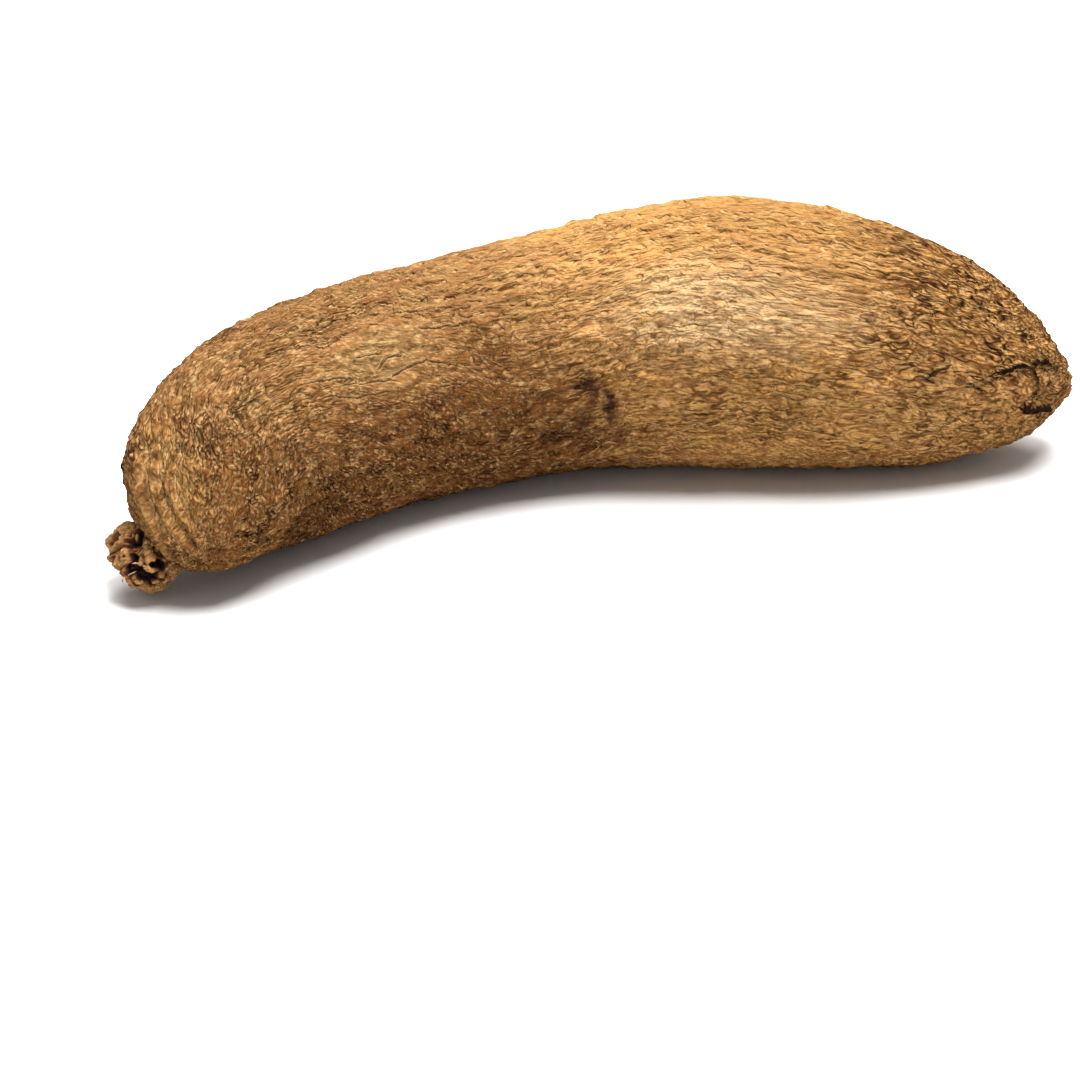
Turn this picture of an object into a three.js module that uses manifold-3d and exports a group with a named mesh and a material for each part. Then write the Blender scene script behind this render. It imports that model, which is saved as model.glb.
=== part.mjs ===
// A yam tuber lying on its side. It grew as one piece, so it is one closed body: a long bowed root with a
// blunt crown end, where the vine was attached by a corky knob, and a nose end that narrows to a small cap.
// +X runs from the crown to the nose, +Z is up, and the origin is under the middle of the tuber.

import * as THREE from "three";
import { mergeVertices } from "three/addons/utils/BufferGeometryUtils.js";
import Module from "manifold-3d";

const wasm = await Module();
wasm.setup();

// Driving dimensions, in millimetres.

// Sections across the body from the crown to the nose: centre x, y and z, half width, half height.
// The body rests on its underside, so a section's centre is about its half height above the ground.
const sections = [
  [-157, -49, 20, 28, 22],
  [-142, -20, 33, 36, 34],
  [-118, 0, 38, 40, 39],
  [-80, 17, 39, 41, 41],
  [-40, 24, 40, 42, 42],
  [5, 24, 43, 45, 44],
  [50, 12, 47, 49, 49],
  [95, -6, 44, 47, 46],
  [132, -20, 36, 38, 38],
  [160, -28, 29, 25, 24],
  [176, -29, 27, 10, 10],
];
const crownBluntness = 9; // higher holds the full girth closer to the end
const noseBluntness = 7;
const ringsAlong = 66;
const sidesRound = 30;
const ringCrowding = 0.55; // how far the rings gather towards the two ends, 0 to 1
const turningReach = 0.05; // share of the body that a section's direction is taken over, each way

// Shallow swellings that keep the body from being evenly round: share of the girth, waves round the
// body, waves along it, start angle.
const swellings = [
  [0.012, 2, 1.5, 0.4],
  [0.009, 3, -2.5, 1.9],
];

// The corky knob on the crown and the cap on the nose: centre, half sizes, depth of their lumps.
const crownKnob = { at: [-170, -27, 15], halfSizes: [11.5, 12, 11], lumps: 0.09 };
const noseCap = { at: [168.5, -28.5, 28], halfSizes: [7.5, 11, 11], lumps: 0.05 };
const knobSides = 18;
const knobRings = 12;

// Ground that the resting flats are cut by.
const groundSize = 600;
const groundDepth = 20;

const upward = new THREE.Vector3(0, 0, 1);

// Both curves run from 0 at the crown to 1 at the nose, and pass a section at the same place.
function curveThrough(points) {
  return new THREE.CatmullRomCurve3(points, false, "catmullrom", 0.5);
}
const centreLine = curveThrough(sections.map(([x, y, z]) => new THREE.Vector3(x, y, z)));
const girthCurve = curveThrough(
  sections.map(([, , , halfWidth, halfHeight]) => new THREE.Vector3(halfWidth, halfHeight, 0)),
);

// How much of the full girth a place along the body has, 0 at both tips.
function roundingAt(along) {
  const bluntness = along < 0.5 ? crownBluntness : noseBluntness;
  return Math.sqrt(Math.max(0, 1 - Math.abs(2 * along - 1) ** bluntness));
}

function swellingAt(along, angle) {
  let share = 1;
  for (const [size, wavesRound, wavesAlong, start] of swellings) {
    share += size * Math.sin(wavesRound * angle + 2 * Math.PI * wavesAlong * along + start);
  }
  return share;
}

// The point of the skin at a place along the body and an angle round it.
function skinPoint(along, angle) {
  const ahead = centreLine
    .getPoint(Math.min(1, along + turningReach))
    .sub(centreLine.getPoint(Math.max(0, along - turningReach)))
    .normalize();
  const side = ahead.clone().cross(upward).normalize();
  const up = side.clone().cross(ahead);
  const girth = girthCurve.getPoint(along);
  const share = roundingAt(along) * swellingAt(along, angle);
  return centreLine
    .getPoint(along)
    .addScaledVector(side, girth.x * share * Math.cos(angle))
    .addScaledVector(up, girth.y * share * Math.sin(angle));
}

// A sphere's rings, spread out along the centre line.
function bodyGeometry() {
  const geometry = new THREE.SphereGeometry(1, sidesRound, ringsAlong);
  const position = geometry.getAttribute("position");
  for (let i = 0; i < position.count; i += 1) {
    const ring = Math.acos(THREE.MathUtils.clamp(-position.getY(i), -1, 1)) / Math.PI;
    const along = ring - (ringCrowding * Math.sin(2 * Math.PI * ring)) / (2 * Math.PI);
    const point = skinPoint(along, Math.atan2(position.getZ(i), position.getX(i)));
    position.setXYZ(i, point.x, point.y, point.z);
  }
  return geometry;
}

// A knob with low lumps all over it.
function knobGeometry({ at, halfSizes, lumps }) {
  const geometry = new THREE.SphereGeometry(1, knobSides, knobRings);
  const position = geometry.getAttribute("position");
  const vertex = new THREE.Vector3();
  for (let i = 0; i < position.count; i += 1) {
    vertex.fromBufferAttribute(position, i);
    const lump = 1 + lumps * Math.sin(4 * vertex.x + 1) * Math.cos(5 * vertex.y) * Math.cos(4 * vertex.z);
    vertex.multiplyScalar(lump).multiply(new THREE.Vector3(...halfSizes));
    position.setXYZ(i, vertex.x, vertex.y, vertex.z);
  }
  return geometry.translate(...at);
}

function toSolid(geometry) {
  geometry.deleteAttribute("normal");
  geometry.deleteAttribute("uv");
  const merged = mergeVertices(geometry);
  return new wasm.Manifold(
    new wasm.Mesh({
      numProp: 3,
      vertProperties: new Float32Array(merged.getAttribute("position").array),
      triVerts: new Uint32Array(merged.getIndex().array),
    }),
  );
}

function toGeometry(solid) {
  const { vertProperties, triVerts } = solid.getMesh();
  const geometry = new THREE.BufferGeometry();
  geometry.setAttribute("position", new THREE.BufferAttribute(vertProperties, 3));
  geometry.setIndex(new THREE.BufferAttribute(triVerts, 1));
  geometry.computeVertexNormals();
  return geometry;
}

// The body with its knob and cap, cut level where it rests, and centred over the origin.
function tuberGeometry() {
  const ground = new THREE.BoxGeometry(groundSize, groundSize, groundDepth);
  ground.translate(0, 0, -groundDepth / 2);
  const solid = toSolid(bodyGeometry())
    .add(toSolid(knobGeometry(crownKnob)))
    .add(toSolid(knobGeometry(noseCap)))
    .subtract(toSolid(ground));
  const geometry = toGeometry(solid);
  geometry.computeBoundingBox();
  const middle = geometry.boundingBox.getCenter(new THREE.Vector3());
  return geometry.translate(-middle.x, -middle.y, 0);
}

const skin = new THREE.MeshStandardMaterial({ color: 0xa5743f, roughness: 0.92, metalness: 0 });

const tuber = new THREE.Mesh(tuberGeometry(), skin);
tuber.name = "yam_tuber";

const yam = new THREE.Group();
yam.add(tuber);

export default yam;
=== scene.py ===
import math

import bmesh
import bpy
from mathutils import Matrix, Vector, noise


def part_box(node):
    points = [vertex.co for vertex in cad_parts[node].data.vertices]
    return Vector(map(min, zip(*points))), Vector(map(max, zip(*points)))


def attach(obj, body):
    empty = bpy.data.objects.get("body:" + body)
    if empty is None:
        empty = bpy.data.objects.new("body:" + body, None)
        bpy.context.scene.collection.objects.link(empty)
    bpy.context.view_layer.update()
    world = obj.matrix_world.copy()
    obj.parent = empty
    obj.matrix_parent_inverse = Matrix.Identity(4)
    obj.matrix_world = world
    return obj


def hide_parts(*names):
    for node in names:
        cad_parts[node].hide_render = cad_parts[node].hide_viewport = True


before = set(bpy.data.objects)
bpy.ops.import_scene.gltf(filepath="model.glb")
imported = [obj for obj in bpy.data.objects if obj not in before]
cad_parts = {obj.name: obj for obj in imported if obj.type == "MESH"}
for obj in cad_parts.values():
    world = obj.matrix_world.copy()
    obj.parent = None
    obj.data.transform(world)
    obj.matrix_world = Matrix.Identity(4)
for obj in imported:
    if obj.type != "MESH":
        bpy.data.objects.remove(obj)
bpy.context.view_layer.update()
rootLow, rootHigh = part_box("yam_tuber")
print("frame loaded, tuber box", [round(v, 4) for v in (rootHigh - rootLow)])

boxFloor = Vector(((rootLow.x + rootHigh.x) / 2, (rootLow.y + rootHigh.y) / 2, rootLow.z))
drawnLength = 357.36  # mm from tip to tip, as the sections below are drawn
mm = (rootHigh.x - rootLow.x) / drawnLength
metresPerMm = 0.001
mmPerMetre = 1000.0

cameraPlace = {
    "azimuth": -20.0,  # degrees round the tuber, 0 looks along +Y
    "elevation": 27.0,
    "distance": 1150.0,
    "lens": 110.0,
    "aim": (-29.75, -42.7, 0.0),  # from the middle of the box's floor
}


def headingTo(azimuth, elevation):  # degrees round from the front and up
    turn = math.radians(azimuth)
    rise = math.radians(elevation)
    return Vector((math.sin(turn) * math.cos(rise), -math.cos(turn) * math.cos(rise), math.sin(rise)))


def makeCamera(place):
    back = headingTo(place["azimuth"], place["elevation"])
    data = bpy.data.cameras.new("studioCamera")
    data.sensor_width = 36.0
    data.lens = place["lens"]
    data.clip_start = 0.01
    data.clip_end = 50.0
    camera = bpy.data.objects.new("studioCamera", data)
    bpy.context.scene.collection.objects.link(camera)
    camera.location = boxFloor + (Vector(place["aim"]) + back * place["distance"]) * mm
    camera.rotation_mode = "QUATERNION"
    camera.rotation_quaternion = (-back).to_track_quat("-Z", "Y")
    bpy.context.scene.camera = camera


makeCamera(cameraPlace)
print("camera placed")


class Wire:  # one node socket that works in plain sums, each sum adding its Math node
    def __init__(self, tree, socket=None):
        self.tree = tree
        self.socket = socket

    def node(self, kind, settings={}, inputs={}, output=0):
        made = self.tree.nodes.new(kind)
        for name, value in settings.items():
            setattr(made, name, value)
        for name, value in inputs.items():
            if isinstance(value, Wire):
                self.tree.links.new(value.socket, made.inputs[name])
            else:
                made.inputs[name].default_value = value
        return Wire(self.tree, made.outputs[output])

    def maths(self, operation, first, second=0.0, clamped=False):
        settings = {"operation": operation, "use_clamp": clamped}
        return self.node("ShaderNodeMath", settings, {0: first, 1: second})

    def __add__(self, other):
        return self.maths("ADD", self, other)

    def __radd__(self, other):
        return self.maths("ADD", other, self)

    def __sub__(self, other):
        return self.maths("SUBTRACT", self, other)

    def __rsub__(self, other):
        return self.maths("SUBTRACT", other, self)

    def __mul__(self, other):
        return self.maths("MULTIPLY", self, other)

    def __rmul__(self, other):
        return self.maths("MULTIPLY", other, self)

    def __truediv__(self, other):
        return self.maths("DIVIDE", self, other)

    def __pow__(self, other):
        return self.maths("POWER", self, other)

    def __abs__(self):
        return self.maths("ABSOLUTE", self)

    def other(self, output):  # another output of the same node
        return Wire(self.tree, self.socket.node.outputs[output])


def vectorMaths(operation, first, second=(0.0, 0.0, 0.0), output=0):
    return first.node("ShaderNodeVectorMath", {"operation": operation}, {0: first, 1: second}, output)


def larger(first, second):
    return first.maths("MAXIMUM", first, second)


def smaller(first, second):
    return first.maths("MINIMUM", first, second)


def fade(value, low, high):  # 0 below low, 1 above high, smooth between
    return value.node(
        "ShaderNodeMapRange",
        {"interpolation_type": "SMOOTHSTEP"},
        {0: value, 1: low, 2: high, 3: 0.0, 4: 1.0},
    )


def stretched(place, length, width, offset=0.0):  # one unit is length mm along the tuber and width mm across
    scaled = vectorMaths("MULTIPLY", place, (1 / length, 1 / width, 1 / width))
    return vectorMaths("ADD", scaled, (offset, offset * 0.7, offset * 1.3))


def cloud(place, length, width, offset=0.0, detail=0.0, roughness=0.5, output=0):
    scaled = stretched(place, length, width, offset)
    return place.node(
        "ShaderNodeTexNoise",
        {"noise_dimensions": "3D"},
        {"Vector": scaled, "Scale": 1.0, "Detail": detail, "Roughness": roughness},
        output,
    )


def cells(place, length, width, offset=0.0, feature="F1", output=0):
    return place.node(
        "ShaderNodeTexVoronoi",
        {"feature": feature},
        {"Vector": stretched(place, length, width, offset), "Scale": 1.0, "Randomness": 1.0},
        output,
    )


def drifted(place, length, width, reach, offset=0.0):  # the place pushed about by a soft noise
    push = vectorMaths("SUBTRACT", cloud(place, length, width, offset, output=1), (0.5, 0.5, 0.5))
    return vectorMaths("ADD", place, vectorMaths("MULTIPLY", push, reach))


def mixColour(share, first, second, blend="MIX"):
    return share.node(
        "ShaderNodeMix",
        {"data_type": "RGBA", "blend_type": blend},
        {0: share, 6: first, 7: second},
        2,
    )


def paint(red, green, blue):  # a screen colour of 0 to 255 as the nodes want it
    channels = [v / 255 for v in (red, green, blue)]
    return tuple(((c + 0.055) / 1.055) ** 2.4 if c > 0.04 else c / 12.92 for c in channels) + (1.0,)


tuber = {
    "sections": [  # centre x, y, z, half width, half height in mm, crown to nose
        (-157, -49, 20, 28, 22),
        (-142, -20, 33, 36, 34),
        (-118, 0, 38, 40, 39),
        (-80, 17, 39, 41, 41),
        (-40, 24, 40, 42, 42),
        (5, 24, 43, 45, 44),
        (50, 12, 47, 49, 49),
        (95, -6, 44, 47, 46),
        (132, -20, 36, 38, 38),
        (160, -28, 29, 25, 24),
        (176, -29, 27, 10, 10),
    ],
    "shift": (2.25, -6.7, 0.0),  # puts the middle of the whole shape over the middle of the box
    "crownBluntness": 9.0,
    "noseBluntness": 7.0,
    "turningReach": 0.05,
    "sidesRound": 320,
    "ringsAlong": 308,
    "ringPitch": [(0.0, 1.2), (0.36, 1.25), (0.5, 1.9), (0.76, 1.9), (0.84, 0.95), (1.0, 0.8)],
    "noseCap": {"at": (170.75, -35.2, 28.0), "halfSizes": (7.5, 11.0, 11.0), "blend": 3.0},
}


def between(table, place):  # straight-line reading of a table of (place, value)
    for (firstPlace, firstValue), (nextPlace, nextValue) in zip(table, table[1:]):
        if place <= nextPlace:
            return firstValue + (nextValue - firstValue) * (place - firstPlace) / (nextPlace - firstPlace)
    return table[-1][1]


def smoothBetween(a, b, c, d, t):  # from b at t = 0 to c at t = 1, with a and d as the neighbours
    bend = a * 2 - b * 5 + c * 4 - d
    twist = b * 3 - a - c * 3 + d
    return (b * 2 + (c - a) * t + bend * t * t + twist * t * t * t) / 2


def sectionAt(along):  # centre, half width and half height, smooth through the listed sections
    sections = [Vector(s) for s in tuber["sections"]]
    spans = len(sections) - 1
    place = min(max(along, 0.0), 1.0) * spans
    index = min(int(place), spans - 1)
    t = place - index
    a = sections[index - 1] if index else sections[0] * 2 - sections[1]
    b = sections[index]
    c = sections[index + 1]
    d = sections[index + 2] if index + 2 <= spans else sections[spans] * 2 - sections[spans - 1]
    return smoothBetween(a, b, c, d, t)


def rounding(along):
    bluntness = tuber["crownBluntness"] if along < 0.5 else tuber["noseBluntness"]
    return math.sqrt(max(0.0, 1 - abs(2 * along - 1) ** bluntness))


def ringAt(along):  # what places every point of one ring
    section = sectionAt(along)
    reach = tuber["turningReach"]
    ahead = (Vector(sectionAt(along + reach)[:3]) - Vector(sectionAt(along - reach)[:3])).normalized()
    side = ahead.cross(Vector((0, 0, 1))).normalized()
    up = side.cross(ahead)
    share = rounding(along)
    centre = Vector(section[:3]) + Vector(tuber["shift"])
    return centre, side * section[3] * share, up * section[4] * share, section[3] * share, section[4] * share


def lengthTable(steps=1500):  # along, distance down the middle, distance down the skin, finest at the ends
    table = []
    middle = 0.0
    skin = 0.0
    lastCentre = lastRadius = None
    for step in range(steps + 1):
        along = (1 - math.cos(math.pi * step / steps)) / 2
        section = sectionAt(along)
        centre = Vector(section[:3])
        radius = (section[3] + section[4]) / 2 * rounding(along)
        if step:
            advance = (centre - lastCentre).length
            middle += advance
            skin += math.hypot(advance, radius - lastRadius)
        table.append((along, middle, skin))
        lastCentre = centre
        lastRadius = radius
    return table


lengths = lengthTable()
middleLength = [(along, middle) for along, middle, skin in lengths]
alongOfLength = [(middle, along) for along, middle, skin in lengths]


def ringPlaces():  # where each ring goes, closer where the pitch is finer
    cost = [0.0]
    for (firstAlong, _, firstSkin), (nextAlong, _, nextSkin) in zip(lengths, lengths[1:]):
        pitch = between(tuber["ringPitch"], (firstAlong + nextAlong) / 2)
        cost.append(cost[-1] + (nextSkin - firstSkin) / pitch)
    spread = [(c, row[0]) for c, row in zip(cost, lengths)]
    rings = tuber["ringsAlong"]
    places = []
    row = 0
    for ring in range(rings + 1):
        wanted = cost[-1] * ring / rings
        while row < len(spread) - 2 and spread[row + 1][0] < wanted:
            row += 1
        (firstCost, firstAlong), (nextCost, nextAlong) = spread[row], spread[row + 1]
        places.append(firstAlong + (nextAlong - firstAlong) * (wanted - firstCost) / (nextCost - firstCost))
    return places


def straightAt(length, angle):  # a place of the unbent tuber: mm down the middle, towards the front, up
    along = between(alongOfLength, length)
    section = sectionAt(along)
    turn = math.radians(angle)
    share = rounding(along)
    return Vector((length, section[3] * share * math.cos(turn), section[4] * share * math.sin(turn)))


def swollen(point, cap):  # pushes a point out to the nose cap where the cap stands proud
    away = point - Vector(cap["at"])
    reach = away.length
    if reach < 0.01 or reach > 40:
        return point
    heading = away / reach
    edge = 1 / math.sqrt(sum((h / s) ** 2 for h, s in zip(heading, cap["halfSizes"])))
    blend = cap["blend"]
    share = min(max(0.5 + 0.5 * (edge - reach) / blend, 0.0), 1.0)
    return Vector(cap["at"]) + heading * (reach * (1 - share) + edge * share + blend * share * (1 - share))


# marks with a place of their own: mm down the middle from the crown, and degrees up from the front
marks = {
    "strokes": [  # half width and depth in mm, darkness, then (length, angle) points
        (0.55, 0.8, 0.7, [(330, 12), (335, 13), (339, 18), (342, 21)]),  # the crack above the nose
        (1.10, 1.4, 1.0, [(341, 22), (345, 26), (349, 30)]),
        (0.75, 1.3, 0.8, [(348, 29), (352, 29), (355, 22)]),  # round the nose's lobe
        (0.55, 1.1, 0.7, [(355, 22), (356, 14), (355, 7), (354, 2)]),
        (1.00, 1.5, 0.9, [(354, 2), (353, -2)]),
        (1.50, 1.7, 1.0, [(353, -3), (357, -7)]),
        (2.00, 1.9, 1.0, [(357, -6), (362, -7)]),
        (0.90, 0.9, 1.0, [(357, 37), (361, 38)]),
        (0.45, 0.7, 0.8, [(361, 38), (366, 41)]),
        (0.60, 0.9, 0.9, [(362, 7), (366, 12), (370, 12)]),
        (0.80, 0.9, 0.8, [(316, 12), (318, 16), (322, 20)]),
        (1.80, 1.8, 0.4, [(26, 136), (19, 142), (12, 150), (7, 155), (2, 185)]),  # folds round the crown
        (1.60, 1.6, 0.4, [(26, 122), (19, 128), (12, 130), (6, 124), (1, 110)]),
        (1.40, 1.1, 0.3, [(25, 107), (16, 116), (8, 110), (2, 84)]),
    ],
    "wrinkles": [  # around the bare patch
        [(76, 41), (83, 38), (96, 34)],
        [(98, 35), (107, 37), (117, 37), (127, 32)],
        [(71, 37), (80, 32), (94, 29)],
        [(62, 52), (72, 47), (81, 42)],
        [(93, 41), (99, 45), (106, 43)],
        [(120, 53), (128, 51), (137, 50)],
        [(88, 50), (98, 48)],
        [(116, 65), (126, 62)],
        [(120, 23), (131, 22)],
        [(75, 78), (83, 74), (93, 76)],
    ],
    "wrinkle": (0.45, 0.45, 0.45),
    "pits": [  # length, angle, radius in mm
        (30, 164, 1.4),
        (354, 35, 2.1),
        (357, 37, 1.6),
    ],
    "warts": [
        (27, 168, 2.2),
        (363, 24, 4.8),
        (357, 4, 2.8),
        (69, 28, 2.2),
        (51, 45, 1.9),
        (244, 4, 2.0),
        (248, 36, 1.6),
        (278, 47, 2.0),
        (299, 36, 1.6),
        (228, 17, 1.7),
        (29, 165, 1.8),
        (351, 96, 1.3),
    ],
    "scars": [(327, -2, 1.5), (332, -4, 1.4)],  # rings left by rootlets
    "scarRing": (0.4, 0.5, 0.5),
    "waver": 0.5,  # mm that the marks wander off their lines
}


def markSegments():  # each stroke cut into straight pieces of the unbent tuber
    strokes = []
    for halfWidth, depth, darkness, points in marks["strokes"]:
        strokes.append((halfWidth, depth, darkness, [straightAt(length, angle) for length, angle in points]))
    for points in marks["wrinkles"]:
        strokes.append((*marks["wrinkle"], [straightAt(length, angle) for length, angle in points]))
    for length, angle, radius in marks["scars"]:
        centre = straightAt(length, angle)
        across = Vector((0.0, -centre.z, centre.y)).normalized() * radius
        turns = [math.pi / 4 * step for step in range(9)]
        ring = [centre + Vector((radius, 0, 0)) * math.cos(turn) + across * math.sin(turn) for turn in turns]
        strokes.append((*marks["scarRing"], ring))
    segments = []
    for halfWidth, depth, darkness, points in strokes:
        for start, end in zip(points, points[1:]):
            reach = halfWidth * 3 + 2
            span = (min(start.x, end.x) - reach, max(start.x, end.x) + reach)
            segments.append((span, start, end - start, halfWidth, depth, darkness))
    return segments


def strokeReading(point, outward, segments):  # signed and plain distance in half widths, depth, darkness
    nearest = (3.0, 3.0, 0.0, 0.0)
    for _, start, span, halfWidth, depth, darkness in segments:
        fromStart = point - start
        share = min(max(fromStart.dot(span) / span.length_squared, 0.0), 1.0)
        gap = fromStart - span * share
        plain = gap.length / halfWidth
        if plain < nearest[1]:
            side = 1.0 if span.cross(gap).dot(outward) > 0 else -1.0
            nearest = (side * plain, plain, depth, darkness)
    return nearest


def spotReading(point, spots):  # distance to the nearest spot in that spot's own radius
    return min([(point - centre).length / radius for centre, radius in spots] + [3.0])


def wobble(point):  # a steady soft noise in all three directions
    starts = (Vector((0, 0, 0)), Vector((31, 17, 5)), Vector((11, 43, 23)))
    return Vector([noise.noise(point + start) for start in starts])


def makeTuberMesh():
    places = ringPlaces()
    rings = [ringAt(along) for along in places]
    middles = [between(middleLength, along) for along in places]
    segments = markSegments()
    spots = []
    for kind in ("pits", "warts"):
        spots.append([(straightAt(length, angle), radius) for length, angle, radius in marks[kind]])
    nearSegments = [[s for s in segments if s[0][0] < middle < s[0][1]] for middle in middles]
    nearSpots = []
    for middle in middles:
        nearSpots.append([[s for s in kind if abs(s[0].x - middle) < s[1] * 3] for kind in spots])
    bm = bmesh.new()
    bmesh.ops.create_uvsphere(bm, u_segments=tuber["sidesRound"], v_segments=tuber["ringsAlong"], radius=1.0)
    straight = bm.verts.layers.float_vector.new("straight")
    strokes = bm.verts.layers.float_vector.new("strokes")
    dots = bm.verts.layers.float_vector.new("dots")
    for vert in bm.verts:
        ring = round(math.acos(max(-1.0, min(1.0, vert.co.z))) / math.pi * tuber["ringsAlong"])
        turn = math.atan2(vert.co.y, vert.co.x)
        centre, side, up, halfWidth, halfHeight = rings[ring]
        point = swollen(centre + side * math.cos(turn) + up * math.sin(turn), tuber["noseCap"])
        point.z = max(point.z, 0.0)
        unbent = Vector((middles[ring], halfWidth * math.cos(turn), halfHeight * math.sin(turn)))
        outward = Vector((0.0, math.cos(turn), math.sin(turn)))
        wavered = unbent + wobble(unbent * 0.35) * marks["waver"]
        vert[straight] = unbent
        signed, plain, depth, darkness = strokeReading(wavered, outward, nearSegments[ring])
        pit, wart = [spotReading(wavered, kind) for kind in nearSpots[ring]]
        vert[strokes] = (signed, plain, depth)
        vert[dots] = (pit, wart, darkness)
        vert.co = boxFloor + point * mm
    bmesh.ops.recalc_face_normals(bm, faces=bm.faces)
    for face in bm.faces:
        face.smooth = True
    mesh = bpy.data.meshes.new("tuberSkin")
    bm.to_mesh(mesh)
    bm.free()
    return mesh


tuberSkin = bpy.data.objects.new("tuberSkin", makeTuberMesh())
bpy.context.scene.collection.objects.link(tuberSkin)
print("tuber drawn,", len(tuberSkin.data.polygons), "faces")

relief = {
    "grainEnds": (85.0, 165.0),  # mm from the crown over which grains give way to furrows
    "steepFrom": 40.0,  # mm from the crown where the furrows start to turn
    "steepLength": 110.0,
    "steepTwist": 0.007,  # radians per mm
    "slowTwist": 0.0005,
}


def billow(place, length, width, offset, detail=0.0):  # 0 in the valleys, about 0.6 on the hills
    return abs(cloud(place, length, width, offset, detail, 0.55) - 0.5) * 2.0


def patch(place, length, angle, halfLength, halfWidth, softness=0.5):
    away = vectorMaths("SUBTRACT", place, tuple(straightAt(length, angle)))
    away = vectorMaths("MULTIPLY", away, (1 / halfLength, 1 / halfWidth, 1 / halfWidth))
    return 1 - fade(vectorMaths("LENGTH", away, output=1), 1 - softness, 1 + softness)


def twisted(place):  # the furrows turn slowly round the tuber on their way to the nose
    lengthwise = place.node("ShaderNodeSeparateXYZ", {}, {0: place}, 0)
    pastCrown = larger(lengthwise - relief["steepFrom"], 0.0)
    steep = smaller(pastCrown, relief["steepLength"]) * relief["steepTwist"]
    slow = larger(lengthwise - (relief["steepFrom"] + relief["steepLength"]), 0.0) * relief["slowTwist"]
    turning = {"Vector": place, "Angle": steep + slow}
    return place.node("ShaderNodeVectorRotate", {"rotation_type": "X_AXIS"}, turning)


def skinRelief(place, strokes, dots):
    wander = drifted(place, 45.0, 26.0, (14.0, 5.0, 5.0), 3.1)
    turned = twisted(wander)
    wiggle = drifted(turned, 7.0, 4.5, (2.6, 2.3, 2.3), 8.4)
    lengthwise = place.node("ShaderNodeSeparateXYZ", {}, {0: wander}, 0)
    grainy = 1 - fade(lengthwise, *relief["grainEnds"])
    calm = larger(patch(wander, 101, 46, 34.0, 15.0) * 0.7, patch(wander, 12, 138, 14.0, 18.0) * 0.4)

    # long furrows towards the nose, short knobbly grains on the crown
    furrows = billow(wiggle, 11.5, 2.5, 1.7, 1.0)
    grains = billow(wiggle, 5.0, 2.1, 5.9, 1.0)
    waves = furrows + (grains - furrows) * grainy
    ripples = billow(wiggle, 5.5, 1.3, 9.6, 0.0)
    nubs = fade(cloud(wander, 3.4, 2.3, 44.2), 0.54, 0.72)
    patchy = cloud(place, 13.0, 6.0, 5.2, 1.0)
    broken = fade(patchy, 0.36, 0.6)
    rough = cloud(wiggle, 1.3, 0.6, 14.2, 2.0, 0.6)
    bark = waves * (0.8 + broken * 1.1) + ripples + (rough - 0.5) * 0.9 + nubs * 0.75
    # valleys and lines mask the dark furrows, partly darker skin and partly painted shade
    valleys = (1 - fade(waves, 0.0, 0.2)) * (0.45 + broken * 0.55)
    worn = larger(fade(cloud(place, 34.0, 15.0, 71.3, 1.0), 0.4, 0.6), fade(lengthwise, 285.0, 320.0))
    lines = larger(valleys, (1 - fade(ripples, 0.0, 0.15)) * 0.5) * (1 - calm) * (0.5 + worn * 0.5)

    # the marks with a place of their own
    stroke = strokes.node("ShaderNodeSeparateXYZ", {}, {0: strokes})
    strokeGap = larger(abs(stroke), stroke.other(1) - 0.8)
    strokeDepth = stroke.other(2)
    grooves = 1 - fade(strokeGap, 0.2, 1.1)
    lips = fade(strokeGap, 0.8, 1.5) * (1 - fade(strokeGap, 1.5, 2.8)) * smaller(strokeDepth, 0.8)
    dot = dots.node("ShaderNodeSeparateXYZ", {}, {0: dots})
    pits = 1 - fade(dot, 0.35, 1.1)
    insidePits = 1 - fade(dot + (rough - 0.5) * 0.8, 0.45, 1.2)
    inside = (1 - fade(strokeGap + (rough - 0.5) * 1.2, 0.4, 1.4)) * dot.other(2)
    warts = 1 - fade(dot.other(1), 0.3, 1.1)

    # stray warts and pits all over
    strays = cells(wander, 10.0, 8.5, 2.9)
    kind = place.node("ShaderNodeSeparateXYZ", {}, {0: strays.other(1)}, 0)
    strayWarts = (1 - fade(strays, 0.05, 0.2)) * fade(kind, 0.62, 0.64)
    strayPits = (1 - fade(strays, 0.04, 0.12)) * (1 - fade(kind, 0.16, 0.18))

    lumps = cloud(place, 26.0, 15.0, 19.5, 1.0)
    knolls = cloud(wander, 9.0, 4.5, 27.5, 1.0)
    height = (lumps - 0.5) * 2.6 + (knolls - 0.5) * 3.2 + bark * (1 - calm) + lips * 0.8
    height = height + warts * 1.3 + strayWarts * 0.45
    height = height - grooves * strokeDepth - pits * 1.5 - strayPits * 0.7
    # holes marks the pits and cracks for near-black colour, partly painted shade in the recesses
    insideStrokes = fade(inside, 0.4, 0.95) * fade(strokeDepth, 0.6, 1.1)
    holes = larger(larger(insidePits, strayPits * 0.5), insideStrokes)
    return {
        "height": height,
        "lines": larger(lines, inside * 0.9),
        "bark": bark,
        "calm": calm,
        "holes": holes,
        "lips": lips,
        "warts": larger(warts, strayWarts),
        "rough": rough,
        "wander": wander,
        "wiggle": wiggle,
        "lengthwise": lengthwise,
    }


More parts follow.
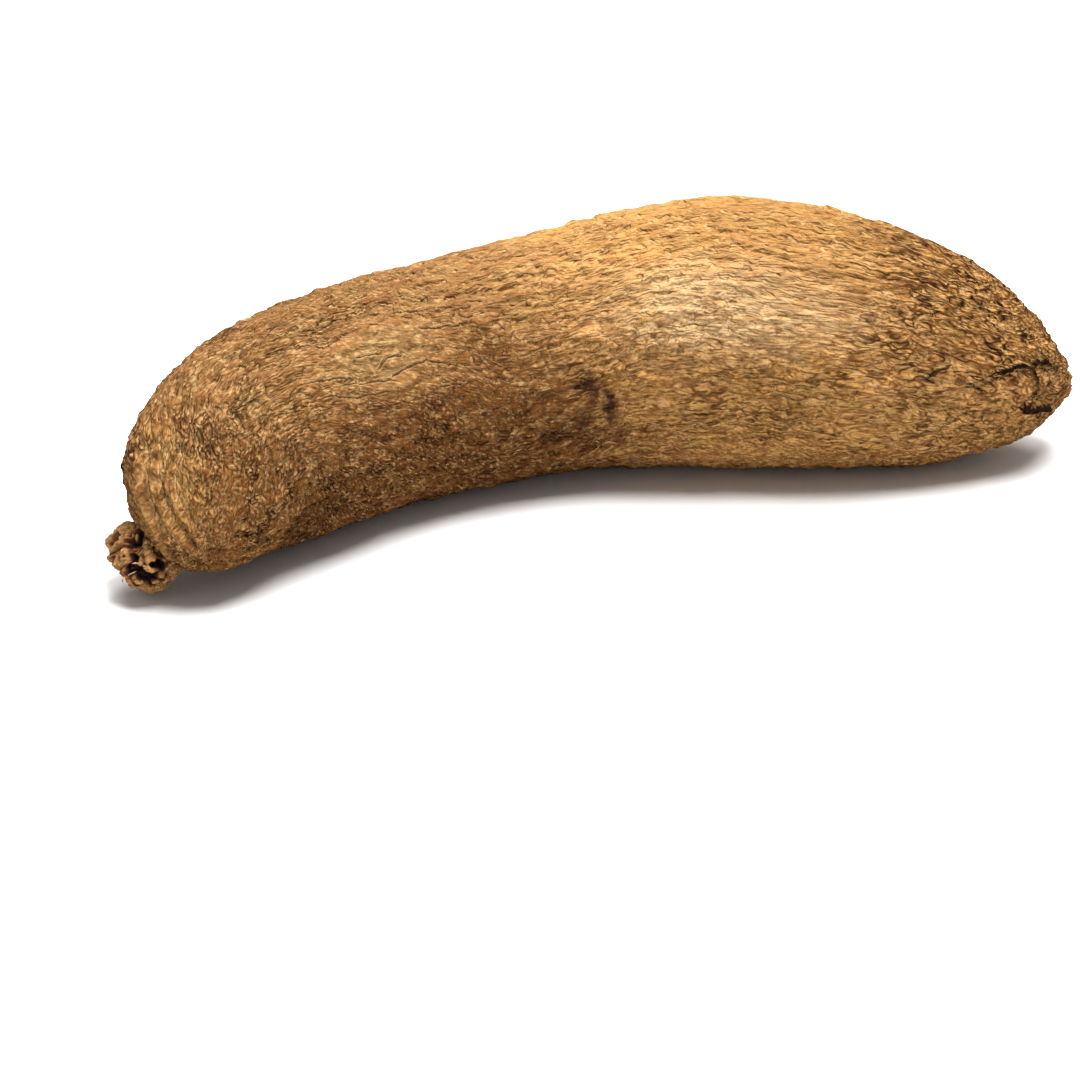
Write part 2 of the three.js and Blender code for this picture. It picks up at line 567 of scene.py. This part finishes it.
def carveRelief(piece):
    tree = bpy.data.node_groups.new("skinRelief", "GeometryNodeTree")
    tree.interface.new_socket("Geometry", in_out="INPUT", socket_type="NodeSocketGeometry")
    tree.interface.new_socket("Geometry", in_out="OUTPUT", socket_type="NodeSocketGeometry")
    wire = Wire(tree)
    shape = wire.node("NodeGroupInput")
    readings = [
        wire.node("GeometryNodeInputNamedAttribute", {"data_type": "FLOAT_VECTOR"}, {"Name": name})
        for name in ("straight", "strokes", "dots")
    ]
    facing = wire.node("GeometryNodeInputNormal")
    height = skinRelief(*readings)["height"] * metresPerMm
    push = wire.node("ShaderNodeVectorMath", {"operation": "SCALE"}, {0: facing, "Scale": height})
    moved = wire.node("GeometryNodeSetPosition", {}, {"Geometry": shape, "Offset": push})
    result = tree.nodes.new("NodeGroupOutput")
    tree.links.new(moved.socket, result.inputs[0])
    carving = piece.modifiers.new("skinRelief", "NODES")
    carving.node_group = tree
    seen = piece.evaluated_get(bpy.context.evaluated_depsgraph_get())
    shaped = bpy.data.meshes.new_from_object(seen)
    piece.modifiers.clear()
    bpy.data.node_groups.remove(tree)
    for vert in shaped.vertices:
        vert.co.z = max(vert.co.z, rootLow.z)
    piece.data = shaped


carveRelief(tuberSkin)
print("relief carved")

skinColours = {
    "gold": paint(204, 151, 86),
    "tan": paint(153, 112, 69),
    "brown": paint(126, 78, 34),
    "clay": paint(126, 88, 50),
    "umber": paint(64, 30, 10),
    # near-black brown, partly dark skin and partly painted contact shade
    "darkSkinAndShade": paint(34, 14, 12),
    "furrow": paint(44, 18, 9),
    "plum": paint(52, 26, 22),
    "hole": paint(24, 9, 6),
    "pale": paint(212, 168, 112),
    "amber": paint(212, 152, 78),
    "brass": paint(150, 108, 60),
    "cream": paint(230, 196, 148),
    "olive": paint(124, 110, 72),
    "straw": paint(178, 148, 92),
    "rose": paint(164, 118, 86),
}

patches = [  # mm from the crown, angle, half length and half width in mm, colour, strength
    (102, 48, 22.0, 9.0, "olive", 0.65),
    (130, 40, 34.0, 20.0, "clay", 0.5),
    # a pale cream patch on the upper front, partly paler skin and partly a painted highlight
    (248, 35, 42.0, 17.0, "cream", 0.75),
    (282, 74, 56.0, 30.0, "brass", 0.65),
    (300, 34, 30.0, 14.0, "brown", 0.2),
    (322, 30, 18.0, 14.0, "brown", 0.25),
    (254, 5, 30.0, 12.0, "brown", 0.25),
    (253, 1, 8.0, 5.0, "gold", 0.7),
    (273, -10, 13.0, 5.0, "umber", 0.4),
    # a dark patch low on the crown half, partly dark skin and partly painted contact shade
    (160, -24, 34.0, 11.0, "darkSkinAndShade", 0.5),
    (6, 45, 24.0, 20.0, "brown", 0.25),
    (12, 140, 20.0, 18.0, "gold", 0.9),
]

smudges = [  # the same, painted over the lines
    (187, 4, 2.6, 7.0, "plum", 0.8),
    (195, -6, 3.0, 9.0, "plum", 0.8),
    (181, -10, 3.2, 5.0, "plum", 0.6),
    (170, -15, 6.0, 4.0, "plum", 0.6),
]


def startMaterial(name):
    material = bpy.data.materials.new(name)
    material.use_nodes = True
    material.node_tree.nodes.clear()
    return material, Wire(material.node_tree)


def finishMaterial(wire, colour, roughness, height, distance, strength, specular):
    bump = wire.node("ShaderNodeBump", {}, {"Height": height, "Distance": distance, "Strength": strength})
    shader = wire.node(
        "ShaderNodeBsdfPrincipled",
        {},
        {"Base Color": colour, "Roughness": roughness, "Normal": bump, "Specular IOR Level": specular},
    )
    output = wire.tree.nodes.new("ShaderNodeOutputMaterial")
    wire.tree.links.new(shader.socket, output.inputs[0])


def makeSkin():
    material, wire = startMaterial("yamSkin")
    readings = [
        wire.node("ShaderNodeAttribute", {"attribute_name": name}, {}, 1)
        for name in ("straight", "strokes", "dots")
    ]
    parts = skinRelief(*readings)
    upward = wire.node("ShaderNodeSeparateXYZ", {}, {0: parts["wander"]}, 2)
    lengthwise = parts["lengthwise"]
    blotches = cloud(parts["wander"], 24.0, 12.0, 23.0, 2.0) - 0.5
    ragged = drifted(parts["wander"], 7.0, 5.0, (5.0, 3.0, 3.0), 6.1)
    golden = fade(lengthwise + blotches * 90.0, 140.0, 230.0)
    colour = mixColour(golden, skinColours["tan"], skinColours["gold"])
    # clay tone on the middle of the crown half below the top, partly greyer skin and partly painted shade
    middling = (1 - fade(abs(lengthwise - 112.0), 20.0, 82.0)) * (1 - fade(upward, 28.0, 42.0)) * 0.78
    colour = mixColour(middling, colour, skinColours["clay"])
    # painted shade: the low side turns browner, partly soil and partly standing in for the shade beneath
    low = 1 - fade(upward + blotches * 30.0, -34.0, 22.0)
    colour = mixColour(low * (0.72 - golden * 0.56), colour, skinColours["brown"])
    high = fade(upward + blotches * 24.0, 26.0, 42.0) * fade(lengthwise, 20.0, 110.0)
    colour = mixColour(high * 0.08, colour, skinColours["brass"])
    tint = cloud(ragged, 19.0, 10.0, 57.0, 1.0)
    varied = 0.6 + golden * 0.4
    colour = mixColour(fade(tint, 0.5, 0.68) * varied * 0.45, colour, skinColours["straw"])
    colour = mixColour(fade(1 - tint, 0.5, 0.68) * varied * 0.3, colour, skinColours["rose"])
    small = cloud(parts["wiggle"], 6.0, 3.0, 31.0, 3.0, 0.6)
    flecked = 0.6 + fade(small, 0.38, 0.6) * 0.6
    for length, angle, halfLength, halfWidth, name, strength in patches:
        share = smaller(patch(ragged, length, angle, halfLength, halfWidth, 0.6) * strength * flecked, 1.0)
        colour = mixColour(share, colour, skinColours[name])

    # soil stain on the low side of the crown half, partly painted contact shade
    soilAndContactShade = 1 - fade(upward + blotches * 34.0, -12.0, 26.0)
    soilAndContactShade = soilAndContactShade * fade(lengthwise + blotches * 20.0, 0.0, 34.0)
    soilAndContactShade = soilAndContactShade * (1 - fade(lengthwise + blotches * 60.0, 172.0, 228.0))
    # painted contact shade mixed with soil stain, darkening the low side of the crown half
    colour = mixColour(soilAndContactShade * (0.55 + fade(small, 0.62, 0.4) * 0.4), colour, skinColours["umber"])

    # pale crests and specks, dark lines, quieter on the upper side; the dark lines are partly the skin's
    # darker furrows and partly painted shade
    quiet = fade(upward + blotches * 14.0, 12.0, 38.0) * (1 - fade(lengthwise, 270.0, 320.0))
    quiet = 1 - quiet * (0.3 + fade(lengthwise, 95.0, 155.0) * 0.45)
    strong = 1 - golden * (1 - fade(lengthwise, 265.0, 310.0) * fade(upward, -4.0, 12.0)) * 0.3
    specks = cloud(parts["wiggle"], 2.0, 1.0, 81.0, 1.0, 0.6)
    colour = mixColour(fade(small, 0.5, 0.72) * 0.5, colour, skinColours["pale"])
    colour = mixColour(fade(specks, 0.5, 0.7) * (0.2 + quiet * 0.4), colour, skinColours["pale"])
    colour = mixColour(fade(1 - specks, 0.5, 0.7) * (0.1 + quiet * 0.6), colour, skinColours["brown"])
    colour = mixColour(fade(1 - small, 0.5, 0.7) * 0.45, colour, skinColours["brown"])
    # pale crests, lips and warts: partly worn skin and pale warts, partly painted highlight on the ridges
    crests = fade(parts["bark"], 0.75, 1.6) * (1 - parts["calm"]) * (0.6 + golden * 0.4)
    paleRaisedAndHighlight = larger(crests * 0.65, larger(parts["lips"], parts["warts"] * 0.8))
    # crests on the low side turn amber, painted warm shade
    crestColour = mixColour(low, skinColours["pale"], skinColours["amber"])
    colour = mixColour(paleRaisedAndHighlight * (1 - soilAndContactShade * 0.25), colour, crestColour)
    # valleys browner, lines and holes near black: partly the skin's own darker colour, partly painted shade
    # in the recesses
    sunk = (1 - fade(parts["bark"], 0.1, 0.7)) * (1 - parts["calm"])
    colour = mixColour(sunk * quiet * strong * 0.8, colour, skinColours["brown"])
    colour = mixColour(parts["lines"] * quiet * strong, colour, skinColours["furrow"])
    colour = mixColour(parts["holes"] * 0.95, colour, skinColours["hole"])
    frayed = drifted(ragged, 2.2, 1.4, (2.4, 2.4, 2.4), 12.0)
    for length, angle, halfLength, halfWidth, name, strength in smudges:
        share = patch(frayed, length, angle, halfLength, halfWidth, 0.7) * strength * flecked
        colour = mixColour(smaller(share, 1.0), colour, skinColours[name])
    roughness = 0.95 - parts["rough"] * 0.15
    finishMaterial(wire, colour, roughness, parts["height"] * (0.6 + quiet * 0.4), 0.0014, 1.0, 0.04)
    return material


tuberSkin.data.materials.clear()
tuberSkin.data.materials.append(makeSkin())
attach(tuberSkin, "root")
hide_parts("yam_tuber")
print("skin painted")

crownKnob = {  # where the vine was attached
    "at": (-167.6, -33.3, 14.4),  # mm from the middle of the box's floor
    "halfSizes": (11.8, 15.0, 11.4),
    "subdivisions": 7,
    "strandAxis": (-1.0, 0.2, -0.35),  # the way the woody strands run
    "strandStretch": 0.6,
    "hollows": [  # degrees round from the front and up, size in degrees, depth in mm
        (-46, 30, 11, 2.0),
        (-42, 4, 16, 2.8),
        (-16, -10, 20, 3.0),
        (6, 10, 13, 2.6),
        (-58, 54, 11, 1.4),
        (-38, 68, 11, 1.6),
        (-76, 10, 9, 1.0),
        (-105, 30, 12, 1.4),
        (-140, 10, 15, 2.0),
        (-95, -25, 12, 1.6),
        (-170, 40, 14, 1.8),
    ],
}


def onKnob(turn, rise, share=1.0):  # a point of the knob's plain ellipsoid, in mm
    heading = headingTo(turn, rise)
    return Vector(crownKnob["at"]) + Vector([h * s * share for h, s in zip(heading, crownKnob["halfSizes"])])


def makeKnobMesh():
    at = Vector(crownKnob["at"])
    hollows = []
    for turn, rise, size, depth in crownKnob["hollows"]:
        hollows.append(((onKnob(turn, rise) - at).normalized(), math.radians(size), depth))
    bm = bmesh.new()
    bmesh.ops.create_icosphere(bm, subdivisions=crownKnob["subdivisions"], radius=1.0)
    sunk = bm.verts.layers.float.new("sunk")
    strandAxis = Vector(crownKnob["strandAxis"]).normalized()
    for vert in bm.verts:
        heading = vert.co.normalized()
        point = Vector([h * s for h, s in zip(heading, crownKnob["halfSizes"])])
        bent = point + wobble(point * 0.16) * 3.0
        bent -= strandAxis * (bent.dot(strandAxis) * crownKnob["strandStretch"])
        lobes = noise.noise(bent * 0.15) * 2.6 + noise.noise(bent * 0.36) * 1.2
        folds = 1 - min(abs(noise.noise(bent * 0.22 + Vector((7, 3, 1)))) * 4.0, 1.0)
        creases = 1 - min(abs(noise.noise(bent * 0.48 + Vector((2, 9, 4)))) * 3.2, 1.0)
        grain = noise.noise(point * 1.5) * 0.25
        hollow = 0.0
        for centre, size, depth in hollows:
            away = (heading - centre).length / size + noise.noise(point * 0.4) * 1.3
            hollow = max(hollow, depth * max(0.0, 1 - away * away))
        # how sunk each point is, which later paints shade into the knob's folds and hollows
        vert[sunk] = folds * 0.45 + creases * 0.35 + hollow * 0.6
        moved = point + heading * (lobes + grain - folds * 1.1 - creases * 0.6 - hollow)
        moved.z = max(moved.z, 0.3 - at.z)
        vert.co = boxFloor + (at + moved) * mm
    bmesh.ops.recalc_face_normals(bm, faces=bm.faces)
    for face in bm.faces:
        face.smooth = True
    mesh = bpy.data.meshes.new("crownKnob")
    bm.to_mesh(mesh)
    bm.free()
    return mesh


def makeKnobSkin():
    material, wire = startMaterial("knobSkin")
    sunk = wire.node("ShaderNodeAttribute", {"attribute_name": "sunk"}, {}, 2)
    place = vectorMaths("SCALE", wire.node("ShaderNodeTexCoord", {}, {}, 3))
    place.socket.node.inputs["Scale"].default_value = mmPerMetre
    fine = cloud(place, 0.9, 0.9, 3.0, 2.0, 0.6)
    spots = cloud(place, 3.5, 3.5, 12.0, 2.0)
    colour = mixColour(fade(spots, 0.4, 0.6), paint(156, 114, 66), paint(120, 84, 44))
    colour = mixColour(fade(fine, 0.5, 0.7) * 0.6, colour, paint(206, 164, 110))
    # folds and hollows darker the more they are sunk: partly darker cork, partly painted shade in the
    # recesses
    colour = mixColour(fade(sunk + (fine - 0.5) * 0.5, 0.15, 0.7), colour, paint(80, 40, 24))
    colour = mixColour(fade(sunk + (fine - 0.5) * 0.8, 0.6, 1.4), colour, paint(20, 5, 6))
    height = fine * 0.7 - sunk * 0.3
    finishMaterial(wire, colour, 0.9, height, 0.001, 1.0, 0.15)
    return material


def addPiece(name, mesh, material):
    piece = bpy.data.objects.new(name, mesh)
    bpy.context.scene.collection.objects.link(piece)
    mesh.materials.append(material)
    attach(piece, "root")


addPiece("crownKnob", makeKnobMesh(), makeKnobSkin())
print("crown knob made")

fibres = {  # dry threads on the crown knob, degrees round and up and how far out
    "radius": 0.3,  # mm
    "sides": 8,
    "runs": [
        [(-70, -37, 1.04), (-60, -22, 1.0), (-45, -8, 0.97), (-33, 0, 0.92)],
        [(-40, -24, 1.0), (-30, -16, 0.97), (-22, -17, 1.0)],
        [(-8, 6, 0.97), (-20, 14, 0.98), (-33, 16, 0.94), (-42, 12, 0.88)],
    ],
}


def drawThread(bm, points, radius, sides):  # a round thread that thins towards both ends
    turn = (points[1] - points[0]).to_track_quat("Z", "Y").to_matrix().to_4x4()
    made = bmesh.ops.create_circle(
        bm, cap_ends=True, radius=radius * 0.4, segments=sides, matrix=Matrix.Translation(points[0]) @ turn
    )
    edges = list({edge for vert in made["verts"] for edge in vert.link_edges})
    swell = 0.4
    for step in range(1, len(points)):
        grown = bmesh.ops.extrude_edge_only(bm, edges=edges)["geom"]
        verts = [item for item in grown if isinstance(item, bmesh.types.BMVert)]
        grownEdges = [item for item in grown if isinstance(item, bmesh.types.BMEdge)]
        edges = [edge for edge in grownEdges if all(vert in verts for vert in edge.verts)]
        bmesh.ops.translate(bm, verts=verts, vec=points[step] - points[step - 1])
        newSwell = 0.35 + 0.65 * math.sin(math.pi * step / (len(points) - 1)) ** 0.5
        size = newSwell / swell
        bmesh.ops.scale(bm, vec=(size, size, size), space=Matrix.Translation(-points[step]), verts=verts)
        swell = newSwell
    bmesh.ops.contextual_create(bm, geom=edges)


def smoothRun(points, steps):  # a rounded line through a few points
    line = []
    for index in range(len(points) - 1):
        a = points[max(index - 1, 0)]
        b = points[index]
        c = points[index + 1]
        d = points[min(index + 2, len(points) - 1)]
        for step in range(steps):
            line.append(smoothBetween(a, b, c, d, step / steps))
    return line + [points[-1]]


def makeFibres():
    bm = bmesh.new()
    for run in fibres["runs"]:
        line = smoothRun([boxFloor + onKnob(turn, rise, share) * mm for turn, rise, share in run], 5)
        drawThread(bm, line, fibres["radius"] * mm, fibres["sides"])
    bmesh.ops.recalc_face_normals(bm, faces=bm.faces)
    for face in bm.faces:
        face.smooth = True
    mesh = bpy.data.meshes.new("crownFibres")
    bm.to_mesh(mesh)
    bm.free()
    return mesh


def makeFibreSkin():
    material, wire = startMaterial("fibreSkin")
    place = vectorMaths("SCALE", wire.node("ShaderNodeTexCoord", {}, {}, 3))
    place.socket.node.inputs["Scale"].default_value = mmPerMetre
    fine = cloud(place, 1.2, 1.2, 8.0, 1.0)
    colour = mixColour(fade(fine, 0.35, 0.65), paint(150, 104, 74), paint(216, 178, 146))
    finishMaterial(wire, colour, 0.85, fine, 0.0003, 1.0, 0.2)
    return material


addPiece("crownFibres", makeFibres(), makeFibreSkin())
print("fibres drawn")

studio = {
    "floorHalf": 3.0,
    "floorColour": (0.86, 0.86, 0.86, 1.0),
    "world": 0.38,
    "lights": [  # name, azimuth, elevation, distance, size, watts
        ("key", 30.0, 78.0, 1.6, 0.9, 44.0),
        ("back", 178.0, 58.0, 1.6, 1.2, 26.0),
    ],
}


def makeFloor():
    bm = bmesh.new()
    bmesh.ops.create_grid(bm, x_segments=1, y_segments=1, size=studio["floorHalf"])
    bmesh.ops.translate(bm, verts=bm.verts, vec=boxFloor - Vector((0, 0, 0.0002)))
    mesh = bpy.data.meshes.new("studioFloor")
    bm.to_mesh(mesh)
    bm.free()
    floor = bpy.data.objects.new("studioFloor", mesh)
    bpy.context.scene.collection.objects.link(floor)
    material, wire = startMaterial("studioFloor")
    inputs = {"Base Color": studio["floorColour"], "Roughness": 0.9}
    shader = wire.node("ShaderNodeBsdfPrincipled", {}, inputs)
    output = wire.tree.nodes.new("ShaderNodeOutputMaterial")
    wire.tree.links.new(shader.socket, output.inputs[0])
    mesh.materials.append(material)


def makeLights():
    middle = boxFloor + Vector((0, 0, 0.04))
    for name, azimuth, elevation, distance, size, watts in studio["lights"]:
        back = headingTo(azimuth, elevation)
        data = bpy.data.lights.new(name, "AREA")
        data.shape = "DISK"
        data.size = size
        data.energy = watts
        light = bpy.data.objects.new(name, data)
        bpy.context.scene.collection.objects.link(light)
        light.location = middle + back * distance
        light.rotation_mode = "QUATERNION"
        light.rotation_quaternion = (-back).to_track_quat("-Z", "Y")
    world = bpy.data.worlds.new("studioWorld")
    world.use_nodes = True
    background = world.node_tree.nodes["Background"]
    background.inputs["Color"].default_value = (1.0, 1.0, 1.0, 1.0)
    background.inputs["Strength"].default_value = studio["world"]
    bpy.context.scene.world = world
    bpy.context.scene.view_settings.view_transform = "Standard"


makeFloor()
makeLights()
print("studio set")
